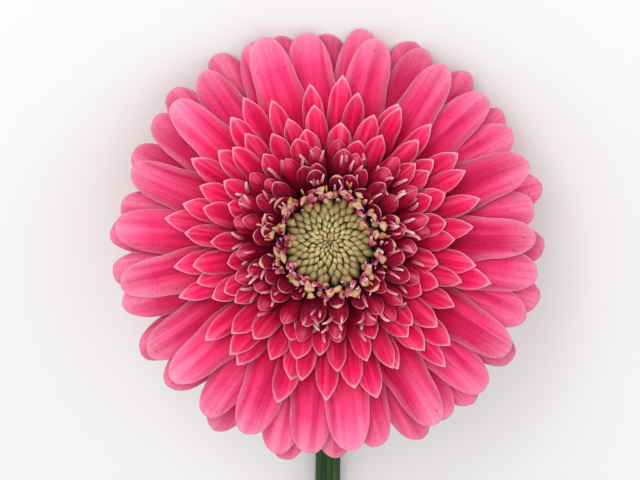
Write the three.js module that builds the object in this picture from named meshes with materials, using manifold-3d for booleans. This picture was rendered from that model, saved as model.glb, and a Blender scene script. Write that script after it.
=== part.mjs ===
// A cut gerbera, laid on a table. The stem lies along -Y and bends up into a green cup of
// bracts. The bloom sits on the cup and leans over its far petals, whose tips rest on the
// table. Every floret follows one rule: floret n stands a golden angle on from floret n - 1,
// and a little higher, from the lowest ray at the rim to the last dark floret by the disc.
// Millimetres, +Z up, origin under the middle of the flower's bounding box.
import * as THREE from "three";
import { mergeVertices } from "three/addons/utils/BufferGeometryUtils.js";
import Module from "manifold-3d";

const wasm = await Module();
wasm.setup();

const RAD = Math.PI / 180;
const GOLDEN_ANGLE = 137.508 * RAD;

// The flower as a whole
const BLOOM_RADIUS = 57.1; // to the tips of the longest rays
const STEM_LENGTH = 280; // from the cup, round the bend and along the table
const STEM_RADIUS = 3.4;
const STEM_BOW = 16; // how far the cut end lies to one side
const STEM_CUT = 0.45; // the slope of the cut
const HEAD_TILT = 27 * RAD; // the bloom's axis, away from straight up
const PETAL_PRESS = 3.6; // how far the table pushes the lowest ray tips up
const GAP = 0.3; // between pieces that touch

// The cup of bracts and the disc, measured along the head's own axis from the cup's rim
const CUP = { depth: 13, radius: 14 };
const BRACTS = { count: 34, width: 3.8, thick: 0.8 };
const DISC = { radius: 10.8, from: 14.5, middle: 15.3, rim: 16.2, buds: 40, ringBuds: 21 };

// The three kinds of floret, from the rim inwards. A pair runs from a kind's first floret to
// its last. The rest: root and tip are distances from the head's axis, level is the root's
// height, rise and fall are the slopes in degrees at the root and at the tip, width is the
// widest, claw is the root's share of it, round is 0.5 for a round tip and 1 for a pointed
// one, and cup is how the sides bend up. Rows and across place the blade's corners. Vary is
// how far a floret may differ: in length and width as shares, in azimuth, slope at the tip
// and twist in degrees.
const RAYS = {
  first: 0,
  count: 55,
  core: { radius: 13.6, from: 0, to: 4.1 },
  root: [13.6, 13.4],
  level: [0.7, 3.5],
  tip: [BLOOM_RADIUS, 54],
  rise: [7, 15],
  fall: [-13, -5],
  width: [12.9, 12.5],
  cup: -0.012,
  thick: 0.7,
  claw: 0.28,
  widest: 0.72,
  tipFrom: 0.73,
  round: 0.5,
  rows: [0.36, 0.72, 0.88],
  across: [-1, 0, 1],
  vary: { tip: 0.02, width: 0.08, azimuth: 3, fall: 1.5, twist: 7 },
};
const OUTER_TRANS = {
  first: 55,
  count: 84,
  core: { radius: 13.4, from: 4.4, to: 9.7 },
  root: [13.3, 13],
  level: [5.4, 9.1],
  tip: [42.3, 27.4],
  rise: [20, 40],
  fall: [-3, 6],
  width: [6.7, 6],
  cup: 0,
  thick: 0.6,
  claw: 0.4,
  widest: 0.7,
  tipFrom: 0.76,
  round: 1,
  rows: [0.5, 0.85],
  across: [-1, 1],
  vary: { tip: 0.055, width: 0.13, azimuth: 4.5, fall: 4, twist: 12 },
};
const INNER_TRANS = {
  first: 139,
  count: 64,
  core: { radius: 12.9, from: 10, to: 14.2 },
  root: [12.8, 12.4],
  level: [11.1, 13.7],
  tip: [26.6, 16],
  rise: [44, 68],
  fall: [8, 34],
  width: [6, 5],
  cup: 0,
  thick: 0.6,
  claw: 0.45,
  widest: 0.65,
  tipFrom: 0.7,
  round: 0.8,
  rows: [0.5, 0.86],
  across: [-1, 1],
  vary: { tip: 0.07, width: 0.15, azimuth: 7, fall: 7, twist: 14 },
};

// Evenly spread numbers from -1 to 1, the same ones each time: one for each floret and use.
function draw(floret, use) {
  const spread = Math.sin(floret * 12.9898 + use * 78.233) * 43758.5453;
  return 2 * (spread - Math.floor(spread)) - 1;
}

const between = (pair, share) => pair[0] + (pair[1] - pair[0]) * share;

// The head is a group of its own, turned so that its axis leans towards +Y.
const lowestTip = RAYS.level[0] + rayDrop();
const HEAD_LIFT =
  BLOOM_RADIUS * Math.sin(HEAD_TILT) - lowestTip * Math.cos(HEAD_TILT) - PETAL_PRESS;
const head = new THREE.Group();
head.rotation.x = -HEAD_TILT;
head.position.z = HEAD_LIFT;
head.updateMatrixWorld(true);
const toHead = head.matrixWorld.clone().invert();

// How far the tip of the lowest ray lies above its root, along the head's axis.
function rayDrop() {
  const reach = RAYS.tip[0] - RAYS.root[0];
  return reach * Math.tan(((RAYS.rise[0] + RAYS.fall[0]) / 2) * RAD);
}

// A point of the head that would sink into the table is pushed up until it rests on it,
// or at lift above it, with a soft start.
function restOnTable(point, lift) {
  const soft = 1;
  point.applyMatrix4(head.matrixWorld);
  const over = point.z - lift;
  if (over < -soft) point.z = lift;
  else if (over < soft) point.z = lift + (over + soft) ** 2 / (4 * soft);
  return point.applyMatrix4(toHead);
}

// What floret n of a kind measures.
function floret(kind, index) {
  const n = kind.first + index;
  const share = index / (kind.count - 1);
  const { vary } = kind;
  const rise = between(kind.rise, share) * RAD;
  const fall = (between(kind.fall, share) + vary.fall * draw(n, 1)) * RAD;
  const root = between(kind.root, share);
  const tip = between(kind.tip, share) * (1 + vary.tip * draw(n, 2));
  return {
    kind,
    rise,
    fall,
    root,
    level: between(kind.level, share),
    azimuth: n * GOLDEN_ANGLE + vary.azimuth * RAD * draw(n, 3),
    width: between(kind.width, share) * (1 + vary.width * draw(n, 4)),
    twist: vary.twist * RAD * draw(n, 5),
    sway: 0.03 * (tip - root) * draw(n, 6),
    length: ((tip - root) * (fall - rise)) / (Math.sin(fall) - Math.sin(rise)),
  };
}

// Half a floret's width at share s of its length: from a narrow claw to the widest place,
// and on to a round or pointed tip.
function halfWidth(f, s) {
  const { claw, widest, tipFrom, round } = f.kind;
  const body = claw + (1 - claw) * Math.sin((Math.PI / 2) * Math.min(1, s / widest));
  const past = Math.max(0, (s - tipFrom) / (1 - tipFrom));
  return Math.max(0.3, (f.width / 2) * body * (1 - past * past) ** round);
}

// A point of a floret: s along it, q across it from -1 to 1, lift above its middle surface.
// The midrib is an arc that leaves the head at the angle rise and ends at the angle fall.
function floretPoint(f, s, q, lift) {
  const angle = f.rise + (f.fall - f.rise) * s;
  const turn = f.length / (f.fall - f.rise);
  const radius = f.root + turn * (Math.sin(angle) - Math.sin(f.rise));
  const level = f.level - turn * (Math.cos(angle) - Math.cos(f.rise));
  const across = q * halfWidth(f, s);
  const above = f.kind.cup * across * across + lift;
  const lean = f.twist * s;
  const sideways = f.sway * s * s + across * Math.cos(lean) - above * Math.sin(lean);
  const upwards = above * Math.cos(lean) + across * Math.sin(lean);
  const outwards = radius - upwards * Math.sin(angle);
  const [sin, cos] = [Math.sin(f.azimuth), Math.cos(f.azimuth)];
  return new THREE.Vector3(
    sin * outwards + cos * sideways,
    cos * outwards - sin * sideways,
    level + upwards * Math.cos(angle),
  );
}

// A closed solid from points and the faces between them, as manifold-3d holds it.
function solidOf(geometry) {
  const bare = geometry.clone();
  bare.deleteAttribute("normal");
  bare.deleteAttribute("uv");
  const merged = mergeVertices(bare, 1e-4);
  return new wasm.Manifold(
    new wasm.Mesh({
      numProp: 3,
      vertProperties: merged.attributes.position.array,
      triVerts: new Uint32Array(merged.index.array),
    }),
  );
}

function geometryOf(solid) {
  const mesh = solid.getMesh();
  const points = new Float32Array(mesh.numVert * 3);
  for (let i = 0; i < mesh.numVert; i++)
    points.set(mesh.vertProperties.subarray(i * mesh.numProp, i * mesh.numProp + 3), i * 3);
  const geometry = new THREE.BufferGeometry();
  geometry.setAttribute("position", new THREE.BufferAttribute(points, 3));
  geometry.setIndex(new THREE.BufferAttribute(mesh.triVerts, 1));
  return geometry;
}

// One solid from many. Air shut in where they cross is filled.
function joined(solids) {
  const whole = solids.reduce((sum, piece) => sum.add(piece));
  return whole.decompose().reduce((a, b) => (b.volume() > a.volume() ? b : a));
}

// A closed blade through stations, each a row of points across its upper face, with a row
// of as many below. The first station is the root's end wall, and the last is the tip's.
function bladeSolid(upper, lower) {
  const end = upper.length - 1;
  const edge = upper[0].length - 1;
  const points = [...upper.flat(), ...lower.flat()];
  const at = (i, j, under = 0) => (under * (end + 1) + i) * (edge + 1) + j;
  const faces = [];
  const quad = (a, b, c, d) => faces.push(a, b, c, a, c, d);
  for (let i = 0; i < end; i++) {
    for (let j = 0; j < edge; j++) {
      quad(at(i, j), at(i, j + 1), at(i + 1, j + 1), at(i + 1, j));
      quad(at(i, j, 1), at(i + 1, j, 1), at(i + 1, j + 1, 1), at(i, j + 1, 1));
    }
    quad(at(i, 0), at(i + 1, 0), at(i + 1, 0, 1), at(i, 0, 1));
    quad(at(i, edge), at(i, edge, 1), at(i + 1, edge, 1), at(i + 1, edge));
  }
  for (let j = 0; j < edge; j++) {
    quad(at(0, j), at(0, j, 1), at(0, j + 1, 1), at(0, j + 1));
    quad(at(end, j), at(end, j + 1), at(end, j + 1, 1), at(end, j, 1));
  }
  const geometry = new THREE.BufferGeometry();
  const flat = new Float32Array(points.flatMap((p) => [p.x, p.y, p.z]));
  geometry.setAttribute("position", new THREE.BufferAttribute(flat, 3));
  geometry.setIndex(faces);
  return solidOf(geometry);
}

// A floret as a blade: its root is sunk in the core. Where it has a middle row, the tip's
// middle stands out beyond its corners.
function floretSolid(f) {
  const { rows, across, thick } = f.kind;
  const sunk = -1 / f.length;
  const corner = across.length > 2 ? 0.965 : 1;
  const face = (lift, rest) =>
    [sunk, ...rows, 1].map((s) =>
      across.map((q) => {
        const along = s === 1 && q !== 0 ? corner : s;
        return restOnTable(floretPoint(f, along, q, lift), rest);
      }),
    );
  return bladeSolid(face(thick / 2, thick), face(-thick / 2, 0));
}

// The florets of one kind, grown on their share of the head's core.
function floretWhorl(kind) {
  const { radius, from, to } = kind.core;
  const core = new THREE.CylinderGeometry(radius, radius, to - from, 24)
    .rotateX(Math.PI / 2)
    .translate(0, 0, (from + to) / 2);
  const blades = Array.from({ length: kind.count }, (_, i) => floretSolid(floret(kind, i)));
  return geometryOf(joined([solidOf(core), ...blades]));
}

// The height of the disc, a very shallow bowl, at a distance from its middle.
function discHeight(radius) {
  return DISC.middle + (DISC.rim - DISC.middle) * Math.min(1, (radius / DISC.radius) ** 2);
}

// A bud of the disc, or of the ring round it: a four-sided spike that leans outwards, or
// inwards where lean is negative. Its foot stays above the florets' core.
function bud(radius, azimuth, size, height, lean) {
  const geometry = new THREE.ConeGeometry(size, height, 4)
    .rotateX(Math.PI / 2)
    .translate(0, 0, height / 2);
  const outwards = new THREE.Vector3(Math.sin(azimuth), Math.cos(azimuth), 0);
  const axis = outwards.clone().multiplyScalar(Math.sin(lean)).setZ(Math.cos(lean));
  const turn = new THREE.Quaternion().setFromUnitVectors(new THREE.Vector3(0, 0, 1), axis);
  const foot = outwards.multiplyScalar(radius);
  foot.z = Math.max(DISC.from + size * Math.abs(Math.sin(lean)), discHeight(radius) - 0.8);
  return solidOf(geometry.applyQuaternion(turn).translate(foot.x, foot.y, foot.z));
}

// The disc: closed buds that curve in towards the middle, larger towards the rim, and round
// them a ring of buds about to open, which stand up and lean outwards.
function discGeometry() {
  const profile = [new THREE.Vector2(0, DISC.from)];
  profile.push(new THREE.Vector2(DISC.radius + 0.5, DISC.from));
  for (const share of [1, 0.6, 0])
    profile.push(new THREE.Vector2(share * DISC.radius, discHeight(share * DISC.radius)));
  const pieces = [solidOf(new THREE.LatheGeometry(profile, 24).rotateX(Math.PI / 2))];
  for (let k = 1; k < DISC.buds; k++) {
    const share = Math.sqrt(k / DISC.buds);
    const azimuth = k * GOLDEN_ANGLE;
    pieces.push(bud(0.92 * DISC.radius * share, azimuth, 0.8 + 0.6 * share, 2.6, -0.8 * share));
  }
  for (let k = 0; k < DISC.ringBuds; k++) {
    const azimuth = ((k + 0.5) * 2 * Math.PI) / DISC.ringBuds;
    const lean = 0.4 + 0.12 * draw(k, 8);
    pieces.push(bud(0.98 * DISC.radius, azimuth, 1.9, 6.2 + 0.6 * draw(k, 7), lean));
  }
  return geometryOf(joined(pieces));
}

// The cup under the bloom: its radius at a height below the rim.
function cupRadius(level) {
  const share = Math.max(0, Math.min(1, -level / CUP.depth));
  return STEM_RADIUS + 0.4 + (CUP.radius - STEM_RADIUS - 0.4) * Math.sqrt(1 - share ** 2.2);
}

function bractSolid(index) {
  const share = index / (BRACTS.count - 1);
  const azimuth = index * GOLDEN_ANGLE;
  const foot = 2 - CUP.depth + 4 * share;
  const top = -5 * (1 - share) - 0.9;
  const station = (s, widthShare, proud) => (lift) =>
    [-1, 1].map((q) => {
      const level = foot + (top - foot) * s;
      const turn = azimuth - (q * widthShare * BRACTS.width) / 2 / cupRadius(level);
      const radius = cupRadius(level) + proud + lift - 0.12 * q * q;
      return new THREE.Vector3(Math.sin(turn) * radius, Math.cos(turn) * radius, level);
    });
  const stations = [station(0, 0.7, -0.9), station(0.5, 1, 0.35), station(1, 0.16, 1)];
  const half = BRACTS.thick / 2;
  return bladeSolid(
    stations.map((make) => make(half)),
    stations.map((make) => make(-half)),
  );
}

function involucreGeometry() {
  const profile = [new THREE.Vector2(0, -CUP.depth)];
  for (const level of [-1, -0.93, -0.8, -0.6, -0.35, -0.1].map((s) => s * CUP.depth))
    profile.push(new THREE.Vector2(cupRadius(level), level));
  profile.push(new THREE.Vector2(CUP.radius - 0.6, -GAP), new THREE.Vector2(0, -GAP));
  const cup = new THREE.LatheGeometry(profile, 24).rotateX(Math.PI / 2);
  const bracts = Array.from({ length: BRACTS.count }, (_, i) => bractSolid(i));
  return geometryOf(joined([solidOf(cup), ...bracts]));
}

// The stem's radius at a share of its length from the cup: a thick neck, then a slow taper
// out towards the cut end.
const stemRadius = (share) => STEM_RADIUS * (1 + 0.12 * Math.exp(-40 * share) + 0.1 * share);

// The stem is twelve-sided, with a flat side underneath that lies on the table.
const STEM_SIDES = 12;
const STEM_FLAT = Math.cos(Math.PI / STEM_SIDES);

// Where the stem's middle line is at a share of its length, and which way it runs: out of
// the cup, round the bend, then along the table with a slight bow to one side.
function stemPlace(share) {
  const top = new THREE.Vector3(0, 0, -CUP.depth - GAP).applyMatrix4(head.matrixWorld);
  const bend = Math.PI / 2 - HEAD_TILT;
  const bendRadius = (top.z - stemRadius(0) * STEM_FLAT) / (1 - Math.cos(bend));
  const round = bendRadius * bend;
  const left = Math.max(0, bend - (share * STEM_LENGTH) / bendRadius);
  const run = Math.max(0, share * STEM_LENGTH - round);
  const bowed = run / (STEM_LENGTH - round);
  const centre = new THREE.Vector3(
    -STEM_BOW * bowed ** 3,
    top.y - bendRadius * (Math.sin(bend) - Math.sin(left)) - run,
    stemRadius(share) * STEM_FLAT + bendRadius * (1 - Math.cos(left)),
  );
  const way = new THREE.Vector3(0, -Math.cos(left), -Math.sin(left));
  way.x = (-3 * STEM_BOW * bowed ** 2) / (STEM_LENGTH - round);
  return { centre, way: way.normalize() };
}

// A straight cylinder whose rings are moved onto the stem's line, closer together round the
// bend. The far end is cut aslant.
function stemGeometry() {
  const rings = 26;
  const geometry = new THREE.CylinderGeometry(1, 1, 1, STEM_SIDES, rings);
  geometry.rotateY(Math.PI / STEM_SIDES);
  const position = geometry.attributes.position;
  for (let i = 0; i < position.count; i++) {
    const share = Math.min(1, position.getY(i) + 0.5) ** 1.8;
    const { centre, way } = stemPlace(share);
    const side = new THREE.Vector3(1, 0, 0).addScaledVector(way, -way.x).normalize();
    const up = side.clone().cross(way);
    const radius = stemRadius(share);
    const height = position.getZ(i) * radius;
    centre.addScaledVector(side, position.getX(i) * radius).addScaledVector(up, height);
    if (share > 0.999) centre.addScaledVector(way, -STEM_CUT * height);
    position.setXYZ(i, centre.x, centre.y, centre.z);
  }
  return geometryOf(solidOf(geometry));
}

function mesh(name, geometry, colour, roughness) {
  const material = new THREE.MeshStandardMaterial({ color: colour, roughness, metalness: 0 });
  const made = new THREE.Mesh(geometry, material);
  made.name = name;
  return made;
}

head.add(
  mesh("involucre", involucreGeometry(), 0x4f7a3a, 0.75),
  mesh("ray_florets", floretWhorl(RAYS), 0xf45a8c, 0.55),
  mesh("outer_trans_florets", floretWhorl(OUTER_TRANS), 0xdc2c62, 0.55),
  mesh("inner_trans_florets", floretWhorl(INNER_TRANS), 0x8c1c38, 0.55),
  mesh("disc_florets", discGeometry(), 0xa8a068, 0.7),
);

const flower = new THREE.Group();
flower.add(mesh("stem", stemGeometry(), 0x46702f, 0.6), head);
const box = new THREE.Box3().setFromObject(flower, true);
const middle = box.getCenter(new THREE.Vector3());
flower.position.set(-middle.x, -middle.y, -box.min.z);

export default flower;
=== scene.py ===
import math

import bpy
import numpy as np
from mathutils import Matrix, Vector


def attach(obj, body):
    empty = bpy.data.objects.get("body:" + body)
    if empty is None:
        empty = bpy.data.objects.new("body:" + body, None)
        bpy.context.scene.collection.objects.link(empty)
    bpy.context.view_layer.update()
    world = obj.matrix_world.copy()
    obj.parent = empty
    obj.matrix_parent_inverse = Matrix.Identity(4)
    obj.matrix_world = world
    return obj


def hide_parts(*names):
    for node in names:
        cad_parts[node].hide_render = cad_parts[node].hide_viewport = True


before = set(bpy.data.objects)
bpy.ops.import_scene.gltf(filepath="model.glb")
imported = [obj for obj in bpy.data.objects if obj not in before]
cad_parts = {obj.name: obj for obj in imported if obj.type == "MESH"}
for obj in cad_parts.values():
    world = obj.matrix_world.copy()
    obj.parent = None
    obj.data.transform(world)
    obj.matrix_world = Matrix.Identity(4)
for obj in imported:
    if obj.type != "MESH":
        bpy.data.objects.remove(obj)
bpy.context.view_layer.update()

bpy.ops.object.select_all(action="DESELECT")

# The ray florets are the 55 large petals round the rim. Each is a thin strap of petal tissue
# on a narrow claw, softly grooved, with a round tip that has small nicks. They grow a golden
# angle apart from the lowest part of the head, in two overlapping layers.
MM = 0.001
HEAD_PLACE = Vector((0.316, 117.155, 23.730)) * MM
HEAD_TILT = math.radians(27)
HEAD = Matrix.Translation(HEAD_PLACE) @ Matrix.Rotation(-HEAD_TILT, 4, "X")
GOLDEN_ANGLE = math.radians(137.508)

RAYS = {
    "first": 0,
    "count": 55,
    "root": (13.6, 13.4),
    "level": (0.7, 3.5),
    "tip": (57.1, 54),
    "rise": (7, 15),
    "fall": (-13, -5),
    "width": (12.9, 12.5),
    "vary": {"tip": 0.02, "width": 0.08, "azimuth": 3, "fall": 1.5, "twist": 7},
}
RAY_LENGTH = 43
RAY_WIDTH = 12.9
RAY_THICK = 0.35

TABLE_GAP = 0.05
PRESSED = 1.0
TIP_WAVE = 0.004
SIDE_RIPPLE = 0.022
TIP_CURL = 0.06
NICK_PLACE = 0.22
NICK_WIDTH = 0.1


def draw(floret, use):
    """An evenly spread number from -1 to 1, always the same for a floret and a use."""
    spread = math.sin(floret * 12.9898 + use * 78.233) * 43758.5453
    return 2 * (spread - math.floor(spread)) - 1


def floret_size(kind, index):
    """What one floret of a kind measures, from its place in the spiral."""
    n = kind["first"] + index
    share = index / (kind["count"] - 1)
    at = {}
    for key, value in kind.items():
        if isinstance(value, tuple):
            at[key] = value[0] + (value[1] - value[0]) * share
    vary = kind["vary"]
    rise = math.radians(at["rise"])
    fall = math.radians(at["fall"] + vary["fall"] * draw(n, 1))
    tip = at["tip"] * (1 + vary["tip"] * draw(n, 2))
    return {
        "n": n,
        "share": share,
        "rise": rise,
        "fall": fall,
        "root": at["root"],
        "level": at["level"],
        "azimuth": n * GOLDEN_ANGLE + math.radians(vary["azimuth"]) * draw(n, 3),
        "width": at["width"] * (1 + vary["width"] * draw(n, 4)),
        "twist": math.radians(vary["twist"]) * draw(n, 5),
        "sway": 0.03 * (tip - at["root"]) * draw(n, 6),
        "length": (tip - at["root"]) * (fall - rise) / (math.sin(fall) - math.sin(rise)),
    }


def raw_points(piece):
    """A mesh's vertices as Blender keeps them, with a row for each of x, y and z."""
    points = np.empty(len(piece.data.vertices) * 3)
    piece.data.vertices.foreach_get("co", points)
    return points.reshape(-1, 3).T


def read_points(piece):
    """A mesh's vertices in millimetres."""
    return raw_points(piece) / MM


def write_points(piece, points):
    """Moves a mesh's vertices to points in millimetres."""
    piece.data.vertices.foreach_set("co", (np.asarray(points).T * MM).ravel())
    piece.data.update()


def from_head(points, flatten=None):
    """Points of the head, in millimetres along its own axes, moved to where the head is. With
    flatten, what would sink into the table is pushed up until it lies that far above it."""
    turn = np.array(HEAD.to_3x3())
    placed = turn @ points + (np.array(HEAD.translation) / MM)[:, None]
    if flatten is not None:
        over = placed[2] - flatten
        soft = flatten + (over + PRESSED) ** 2 / (4 * PRESSED)
        placed[2] = np.where(over < -PRESSED, flatten, np.where(over < PRESSED, soft, placed[2]))
    return placed


def round_head(azimuth, outwards, sideways, level):
    """Points of the head from their way round it, how far out and aside they are, and their
    level."""
    sin, cos = math.sin(azimuth), math.cos(azimuth)
    return np.array([sin * outwards + cos * sideways, cos * outwards - sin * sideways, level])


def along_floret(size, along, across, above, cup):
    """Bends a flat petal onto its floret's midrib, an arc from the slope rise to fall."""
    angle = size["rise"] + (size["fall"] - size["rise"]) * along
    turn = size["length"] / (size["fall"] - size["rise"])
    radius = size["root"] + turn * (np.sin(angle) - math.sin(size["rise"]))
    level = size["level"] - turn * (np.cos(angle) - math.cos(size["rise"]))
    above = above + cup * across**2
    lean = size["twist"] * along
    sideways = size["sway"] * along**2 + across * np.cos(lean) - above * np.sin(lean)
    upwards = above * np.cos(lean) + across * np.sin(lean)
    outwards = radius - upwards * np.sin(angle)
    return round_head(size["azimuth"], outwards, sideways, level + upwards * np.cos(angle))


def number_each_vertex(piece, name, values):
    """A number for each vertex, which the piece's material reads by name."""
    layer = piece.data.attributes.get(name) or piece.data.attributes.new(name, "FLOAT", "POINT")
    spread = np.broadcast_to(values, len(piece.data.vertices))
    layer.data.foreach_set("value", spread.astype(np.float32))


def petal_blank(columns, rows, width, length, thick, outline, relief, tip_depth, tip_power, nick=0.0):
    """One flat petal, root at the origin and tip along +Y, with its outline and relief, as a
    thin closed sheet. Its tip closes over the share tip_depth of its length, more bluntly for a
    larger tip_power. Its UV map runs across and along it, and rim is the distance to its edge
    in millimetres."""
    bpy.ops.mesh.primitive_grid_add(x_subdivisions=columns, y_subdivisions=rows, size=1)
    petal = bpy.context.object
    x, y, _ = raw_points(petal)
    across = np.sin(np.pi * np.clip(x, -0.5, 0.5))
    along = 1 - (0.5 - y) ** 1.15
    reach = np.sqrt(1 - np.minimum(np.abs(across), 1) ** tip_power)
    reach = reach - nick * np.exp(-(((np.abs(across) - NICK_PLACE) / NICK_WIDTH) ** 2))
    closing = 1 - tip_depth * (1 - reach)
    place = along * closing
    half = width / 2 * outline(np.minimum(1, place / (1 - tip_depth)))
    edge = np.minimum((1 - np.abs(across)) * half, (1 - along) * length * closing)
    write_points(petal, [across * half, place * length, relief(across, place)])
    number_each_vertex(petal, "rim", edge)
    corner = np.empty(len(petal.data.loops), np.int32)
    petal.data.loops.foreach_get("vertex_index", corner)
    chart = np.stack([(across[corner] + 1) / 2, place[corner]], axis=1)
    petal.data.uv_layers[0].data.foreach_set("uv", chart.ravel().astype(np.float32))
    petal.data.uv_layers[0].name = "petal"
    wall = petal.modifiers.new("wall", "SOLIDIFY")
    wall.thickness = thick * MM
    wall.offset = 0
    bpy.ops.object.modifier_apply(modifier="wall")
    bpy.ops.object.shade_smooth()
    return petal


def join_pieces(pieces, name, finish, *nodes, slot):
    """Makes one piece of many, which rides with the flower and stands for CAD nodes."""
    bpy.ops.object.select_all(action="DESELECT")
    for piece in pieces:
        piece.select_set(True)
    bpy.context.view_layer.objects.active = pieces[0]
    if len(pieces) > 1:
        bpy.ops.object.join()
    whole = bpy.context.object
    whole.name = name
    whole.data.name = name
    whole.data.materials.clear()
    whole.data.materials.append(finish)
    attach(whole, "root")
    if nodes:
        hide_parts(*nodes)
    bpy.ops.object.select_all(action="DESELECT")


def copy_of(master):
    """A copy with a mesh of its own."""
    twin = master.copy()
    twin.data = master.data.copy()
    bpy.context.collection.objects.link(twin)
    return twin


def lay_florets(master, kind, length, width, thick, cup, hood=lambda share: 0.0):
    """A copy of the flat petal for each floret of a kind, bent to its place on the head. Cup
    raises its sides and hood lowers its tip."""
    x, y, z = read_points(master)
    made = []
    for index in range(kind["count"]):
        size = floret_size(kind, index)
        n = size["n"]
        along = y / length
        wave = np.cos(4 * x / width + 3 * draw(n, 16)) + np.cos(11 * x / width + 3 * draw(n, 17))
        along = along + TIP_WAVE * wave * np.clip((along - 0.8) / 0.2, 0, 1)
        across = x * size["width"] / width
        side = x / (width / 2)
        bend = cup(size["share"]) * (1 + 0.35 * draw(n, 11))
        ripple = SIDE_RIPPLE * size["width"] * along * side * np.sin(7.5 * along + 3 * draw(n, 12))
        tip = np.clip((along - 0.7) / 0.3, 0, 1) ** 2
        curl = TIP_CURL * size["width"] * draw(n, 13) - hood(size["share"]) * (1 + 0.5 * draw(n, 15))
        laid = along_floret(size, along, across, z + ripple + curl * tip, bend)
        floret = copy_of(master)
        write_points(floret, from_head(laid, np.maximum(TABLE_GAP, z + thick)))
        number_each_vertex(floret, "tint", size["share"])
        number_each_vertex(floret, "shade", draw(n, 14))
        made.append(floret)
    bpy.data.objects.remove(master)
    return made


def srgb(red, green, blue):
    """A colour given as it looks on a screen, for a shader's socket."""

    def linear(value):
        return value / 3294.6 if value <= 10 else ((value / 255 + 0.055) / 1.055) ** 2.4

    return (linear(red), linear(green), linear(blue), 1)


def node(tree, kind, inputs=None, **settings):
    """A shader node with its settings, and with a value or a link for each input."""
    made = tree.nodes.new(kind)
    for key, value in settings.items():
        setattr(made, key, value)
    for key, value in (inputs or {}).items():
        if isinstance(value, bpy.types.NodeSocket):
            tree.links.new(value, made.inputs[key])
        else:
            made.inputs[key].default_value = value
    return made


def maths(tree, operation, *values):
    return node(tree, "ShaderNodeMath", dict(enumerate(values)), operation=operation).outputs[0]


def times(tree, first, second):
    return maths(tree, "MULTIPLY", first, second)


def mixed(tree, factor, first, second, blend="MIX"):
    inputs = {0: factor, 6: first, 7: second}
    return node(tree, "ShaderNodeMix", inputs, data_type="RGBA", blend_type=blend).outputs[2]


def shaded(tree, colour, light):
    """A colour made lighter and darker by a pattern."""
    return mixed(tree, 1.0, colour, light, "MULTIPLY")


def ramp(tree, factor, stops, smooth=False):
    """A colour that changes with factor, through stops of a place and a colour."""
    made = node(tree, "ShaderNodeValToRGB", {0: factor})
    made.color_ramp.interpolation = "EASE" if smooth else "LINEAR"
    elements = made.color_ramp.elements
    while len(elements) < len(stops):
        elements.new(0.5)
    for element, (place, colour) in zip(elements, stops):
        element.position = place
        element.color = colour
    return made.outputs[0]


def share_by(tree, factor, *stops, smooth=False):
    """A share that changes with factor, through stops of a place and a share."""
    return ramp(tree, factor, [(place, (much, much, much, 1)) for place, much in stops], smooth)


def number(tree, name):
    """What number_each_vertex gave the piece."""
    return node(tree, "ShaderNodeAttribute", attribute_name=name).outputs["Fac"]


def chart_place(tree):
    """Where on its piece's UV map a point is, across and along."""
    chart = node(tree, "ShaderNodeUVMap", uv_map="petal").outputs[0]
    spots = node(tree, "ShaderNodeSeparateXYZ", {0: chart})
    return spots.outputs[0], spots.outputs[1]


def noise(tree, place, detail, scale=1.0):
    inputs = {"Vector": place, "Scale": scale, "Detail": detail}
    return node(tree, "ShaderNodeTexNoise", inputs).outputs[0]


def mottle(tree, scale, detail):
    """Fine patches all over a piece, so many to a metre."""
    return noise(tree, node(tree, "ShaderNodeTexCoord").outputs["Object"], detail, scale)


def new_finish(name, roughness, gloss=0.5):
    """A material with its node tree and its shader."""
    material = bpy.data.materials.new(name)
    material.use_nodes = True
    shader = material.node_tree.nodes["Principled BSDF"]
    shader.inputs["Roughness"].default_value = roughness
    shader.inputs["Specular IOR Level"].default_value = gloss
    return material, material.node_tree, shader


def bump(tree, shader, height, strength, distance):
    inputs = {"Height": height, "Strength": strength, "Distance": distance}
    tree.links.new(node(tree, "ShaderNodeBump", inputs).outputs[0], shader.inputs["Normal"])


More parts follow.
